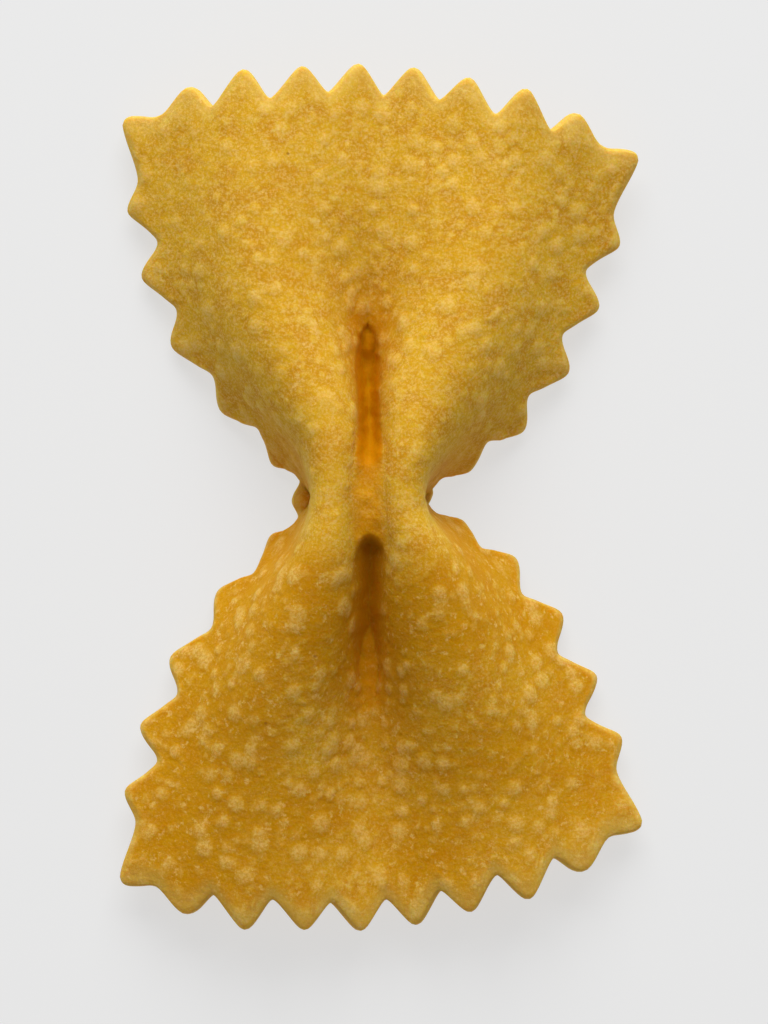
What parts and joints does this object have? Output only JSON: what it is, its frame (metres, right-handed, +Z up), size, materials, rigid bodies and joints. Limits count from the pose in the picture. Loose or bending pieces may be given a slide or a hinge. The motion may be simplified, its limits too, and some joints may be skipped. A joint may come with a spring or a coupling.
{
  "type": "farfalle pasta",
  "caption": "Dried bow-tie pasta: a thin dough sheet with zigzag edges on every side, folded lengthwise and pinched shut at the waist, with flared wings.",
  "frame": {"origin": "centre of the bounding box's footprint, on the surface the pasta lies on", "axes": "+X across the bow, from the side whose corners stand further apart to the other; +Y along the bow, from wing to wing; +Z up, from the resting side to the pinched ridges"},
  "size_m": [0.03, 0.0498, 0.0084],
  "materials": {
    "dough": "matte, golden yellow, blistered dry dough"
  },
  "bodies": {
    "root": {"farfalle": "dough"}
  },
  "joints": []
}
